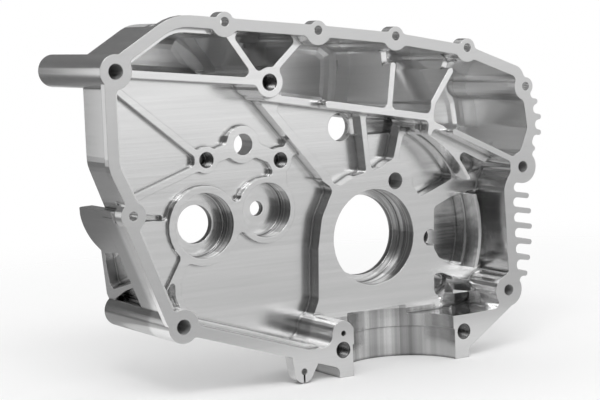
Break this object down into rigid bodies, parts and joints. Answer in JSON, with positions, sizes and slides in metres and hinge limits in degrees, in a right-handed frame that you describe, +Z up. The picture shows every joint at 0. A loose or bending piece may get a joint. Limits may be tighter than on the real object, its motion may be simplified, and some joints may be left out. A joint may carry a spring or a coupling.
{
  "type": "gearbox housing",
  "caption": "Left half of a small engine and gearbox housing, milled from solid: bearing seats, crank chamber, ribbed oil sump, cylinder spigot and cooling fins.",
  "frame": {"origin": "centre of the main bearing bore on the plane of the joint face", "axes": "+X along the cylinder deck towards the finned side, +Y from the joint face into the housing, +Z up, away from the cylinder deck"},
  "size_m": [0.3683, 0.101, 0.2648],
  "materials": {
    "aluminium": "bright milled, bare"
  },
  "bodies": {
    "root": {"housing": "aluminium"}
  },
  "joints": []
}
